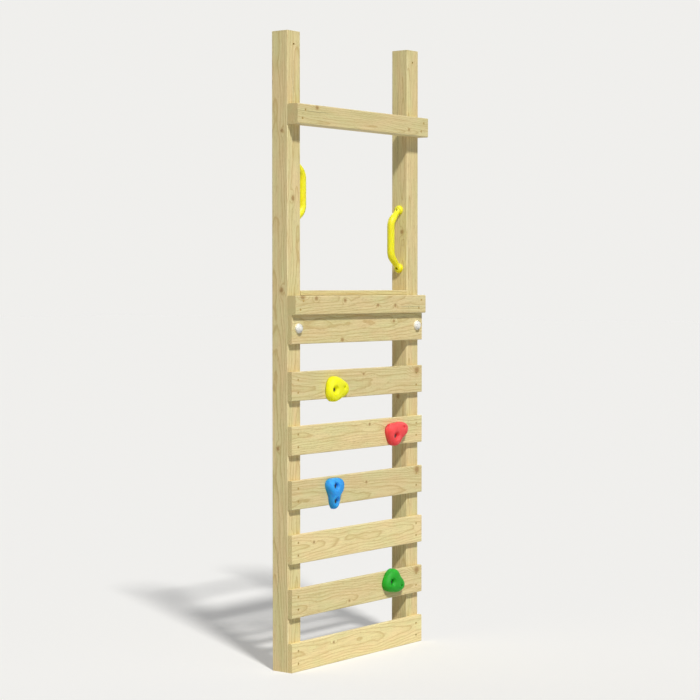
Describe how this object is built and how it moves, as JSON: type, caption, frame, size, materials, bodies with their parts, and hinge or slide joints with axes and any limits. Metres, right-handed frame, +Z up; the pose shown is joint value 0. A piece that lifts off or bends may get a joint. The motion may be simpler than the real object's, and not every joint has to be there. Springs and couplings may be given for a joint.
{
  "type": "rock climbing wall",
  "caption": "Timber rock climbing wall for a play tower: spaced boards with bolted moulded holds across square posts, with a platform edge, guard rail and hand grips above.",
  "frame": {"origin": "on the ground, at the middle of the wall's overall width and depth", "axes": "+X along the boards, to the right as the climber sees them; +Y through the wall, from the climbing side towards the platform; +Z up"},
  "size_m": [0.765, 0.1493, 2.2],
  "materials": {
    "treated_pine": "planed pressure-treated pine, pale greenish yellow",
    "yellow_plastic": "moulded, satin",
    "red_plastic": "moulded, fine grain",
    "blue_plastic": "moulded, fine grain",
    "green_plastic": "moulded, fine grain",
    "white_plastic": "moulded, satin",
    "zinc_steel": "zinc plated"
  },
  "bodies": {
    "root": {"post_left": "treated_pine", "post_right": "treated_pine", "base_board": "treated_pine", "cross_board": "treated_pine", "platform_beam": "treated_pine", "guard_rail": "treated_pine", "landing_bearer": "treated_pine", "landing_board": "treated_pine", "climb_board_1": "treated_pine", "climb_board_2": "treated_pine", "climb_board_3": "treated_pine", "climb_board_4": "treated_pine", "climb_board_5": "treated_pine", "hold_yellow": "yellow_plastic", "hold_red": "red_plastic", "hold_blue": "blue_plastic", "hold_green": "green_plastic", "grip_left": "yellow_plastic", "grip_right": "yellow_plastic", "hold_bolts": "zinc_steel", "hold_bolt_washers": "zinc_steel", "hold_tee_nuts": "zinc_steel", "hold_lock_screws": "zinc_steel", "cross_board_bolts": "zinc_steel", "cross_board_washers": "zinc_steel", "cross_board_nuts": "zinc_steel", "climb_board_screws": "zinc_steel", "base_board_screws": "zinc_steel", "platform_beam_screws": "zinc_steel", "guard_rail_screws": "zinc_steel", "landing_bearer_screws": "zinc_steel", "landing_board_screws": "zinc_steel", "grip_screws": "zinc_steel", "bolt_cap_bases": "white_plastic", "bolt_caps": "white_plastic"}
  },
  "joints": []
}
